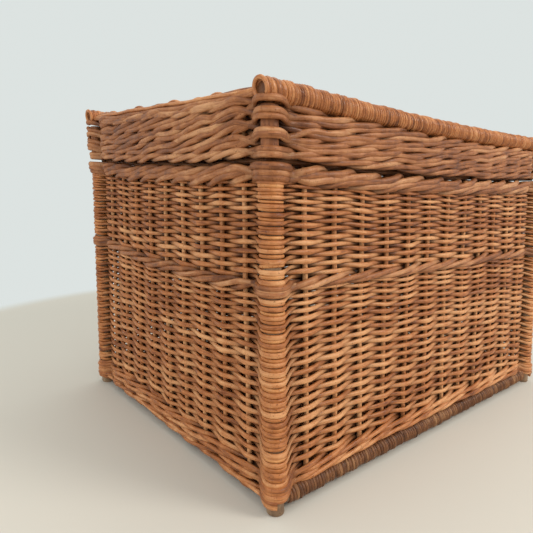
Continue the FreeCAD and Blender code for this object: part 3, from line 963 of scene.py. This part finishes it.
def top_of_end_wall(rods, wall):
    """A last round of waling, and the rods that lie along the top of an end wall."""
    strands = [Strand(unevenness=2) for _ in range(4)]
    waling(
        rods, wall, lid_top - 1.5 * MM, strands, LID_POST_RADIUS,
        radius=3.4 * MM, rise=4 * MM, dip=3 * MM, outside_post=0,
    )
    s = np.linspace(-1, 1, 40) * (wall.half(lid_top) - 4 * MM)
    for out, height in TOP_RODS:
        z = lid_top + height + 0.8 * MM * np.sin(s * 40 + out * 900)
        stations = np.stack([s, z, out + 0.8 * MM * np.cos(s * 33)], -1)
        rods.add(wall.place(stations), 3.1 * MM, 3.1 * MM, rng.uniform(0.35, 0.6))


# Thick waling rods, one round above another.
for name, wall in lid.items():
    rods = Rods()
    waling(rods, wall, edge_round, edge_looks, EDGE_POST_RADIUS, radius=3.1 * MM, rise=4.4 * MM, dip=0)
    rods.build(f"lid_edge_rods_{name}", rod_willow, "lid", [f"lid_edge_{name}"])
    rods = Rods()
    for z, strands in zip(lid_rounds, lid_looks):
        waling(
            rods, wall, z, strands, LID_POST_RADIUS,
            radius=3.3 * MM, rise=10 * MM, dip=-4 * MM, outside_post=2,
        )
    if name not in LONG_WALLS:
        top_of_end_wall(rods, wall)
    nodes = [f"lid_siding_{name}"]
    if name == "front":
        nodes.append("lid_corner_wraps")
    rods.build(f"lid_siding_rods_{name}", rod_willow, "lid", nodes)
for name, wall in lid.items():
    post = FIRST_POST[name]
    node = f"lid_corner_post_{post}"
    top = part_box(node)[1].z
    corner_post(wall, f"lid_post_{post}", node, "lid", rod_willow, top, LID_POST_RADIUS, tone=0.3)
rods = Rods()
for wall in lid.values():
    add_stakes(rods, wall, edge_low.z + 2 * MM, lid_top, sections=10)
rods.build("lid_stake_rods", stake_willow, "lid", ["lid_stakes"])

# Hinge loops: two willow strands twisted together into a ring.
TWISTS = 7
STRAND_OFFSET = 0.42  # of the twisted rod's radius: how far each strand is from its middle
STRAND_RADIUS = 0.55  # of the same
for side in ("left", "right"):
    node = f"hinge_loop_{side}"
    middle = centre(node)
    rod = half_size(node, X)
    radius = half_size(node, Z) - rod
    turn = np.linspace(0, FULL_TURN, 96, endpoint=False)
    rods = Rods()
    for beginning in (0, math.pi):
        twist = TWISTS * turn + beginning
        x = middle.x + STRAND_OFFSET * rod * np.sin(twist)
        reach = radius + STRAND_OFFSET * rod * np.cos(twist)
        ring = np.stack([x, middle.y + reach * np.cos(turn), middle.z + reach * np.sin(turn)], -1)
        rods.add(ring, rod * STRAND_RADIUS, rod * STRAND_RADIUS, 0.4, up=SIDEWAYS, closed=True)
    rods.build(f"hinge_loop_rods_{side}", rod_willow, "box", [node])


# ---------------------------------------------------------------- room, light and camera

CAMERA_YAW = math.radians(40.5)
CAMERA_PITCH = math.radians(10.2)
CAMERA_ROLL = math.radians(1.8)
CAMERA_PLACE = Vector((-0.637, -0.596, 0.3605))
SENSOR_WIDTH = 36
FOCAL_LENGTH = 34.1
look = Vector((
    math.sin(CAMERA_YAW) * math.cos(CAMERA_PITCH),
    math.cos(CAMERA_YAW) * math.cos(CAMERA_PITCH),
    -math.sin(CAMERA_PITCH),
))
camera = bpy.data.objects.new("camera", bpy.data.cameras.new("camera"))
camera.data.sensor_width = SENSOR_WIDTH
camera.data.lens = FOCAL_LENGTH
camera.rotation_mode = "QUATERNION"
camera.rotation_quaternion = Quaternion(look, -CAMERA_ROLL) @ look.to_track_quat("-Z", "Y")
camera.location = CAMERA_PLACE
bpy.context.scene.collection.objects.link(camera)
bpy.context.scene.camera = camera
bpy.context.scene.view_settings.view_transform = "Standard"

WALL_LIGHT = (0.72, 0.766, 0.752)  # the pale wall behind the trunk
FLOOR_COLOUR = (0.65, 0.605, 0.53)
WALL_RADIUS = 0.835  # from the trunk's middle to where the floor turns into the wall
WALL_BLEND = 0.08
FLOOR_REACH = 12.0


def floor_and_wall():
    """Matt floor round the trunk that turns smoothly into the even light of a pale wall."""
    material = bpy.data.materials.new("floor")
    material.use_nodes = True
    tree = material.node_tree
    paint = tree.nodes["Principled BSDF"]
    place = tree.nodes.new("ShaderNodeTexCoord")
    distance = tree.nodes.new("ShaderNodeVectorMath")
    distance.operation = "LENGTH"
    tree.links.new(place.outputs["Object"], distance.inputs[0])
    far = tree.nodes.new("ShaderNodeMapRange")
    far.interpolation_type = "SMOOTHSTEP"
    far.inputs["From Min"].default_value = WALL_RADIUS
    far.inputs["From Max"].default_value = WALL_RADIUS + WALL_BLEND
    tree.links.new(distance.outputs["Value"], far.inputs["Value"])
    for socket, near_colour, far_colour in (
        ("Base Color", FLOOR_COLOUR, (0, 0, 0)),
        ("Emission Color", (0, 0, 0), WALL_LIGHT),
    ):
        shade = tree.nodes.new("ShaderNodeMix")
        shade.data_type = "RGBA"
        shade.inputs["A"].default_value = (*near_colour, 1)
        shade.inputs["B"].default_value = (*far_colour, 1)
        tree.links.new(far.outputs["Result"], shade.inputs["Factor"])
        tree.links.new(shade.outputs["Result"], paint.inputs[socket])
    paint.inputs["Emission Strength"].default_value = 1
    paint.inputs["Specular IOR Level"].default_value = 0
    paint.inputs["Roughness"].default_value = 1
    return material


floor_mesh = bpy.data.meshes.new("floor")
corners = [(x * FLOOR_REACH, y * FLOOR_REACH, 0) for x, y in ((-1, -1), (1, -1), (1, 1), (-1, 1))]
floor_mesh.from_pydata(corners, [], [(0, 1, 2, 3)])
floor = bpy.data.objects.new("floor", floor_mesh)
bpy.context.scene.collection.objects.link(floor)
floor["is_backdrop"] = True
floor_mesh.materials.append(floor_and_wall())

LIT_SPOT = Vector((0, 0, 0.2))
LAMPS = {  # place, width, power and colour of each soft light
    "key": ((0.9, -1.9, 1.7), 1.0, 30, (1, 0.96, 0.91)),
    "fill": ((-2.0, -0.6, 1.3), 1.6, 13, (0.96, 0.98, 1)),
    "top": ((0.1, 0.3, 2.3), 1.6, 10, (1, 1, 1)),
}
for name, (place, width, power, colour) in LAMPS.items():
    light = bpy.data.lights.new(name, "AREA")
    light.shape = "DISK"
    light.size = width
    light.energy = power
    light.color = colour
    lamp = bpy.data.objects.new(name, light)
    lamp.location = place
    lamp.rotation_mode = "QUATERNION"
    lamp.rotation_quaternion = (LIT_SPOT - Vector(place)).to_track_quat("-Z", "Y")
    bpy.context.scene.collection.objects.link(lamp)

world = bpy.data.worlds.new("room")
world.use_nodes = True
world.node_tree.nodes["Background"].inputs["Color"].default_value = (*WALL_LIGHT, 1)
world.node_tree.nodes["Background"].inputs["Strength"].default_value = 1
bpy.context.scene.world = world

low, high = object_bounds()
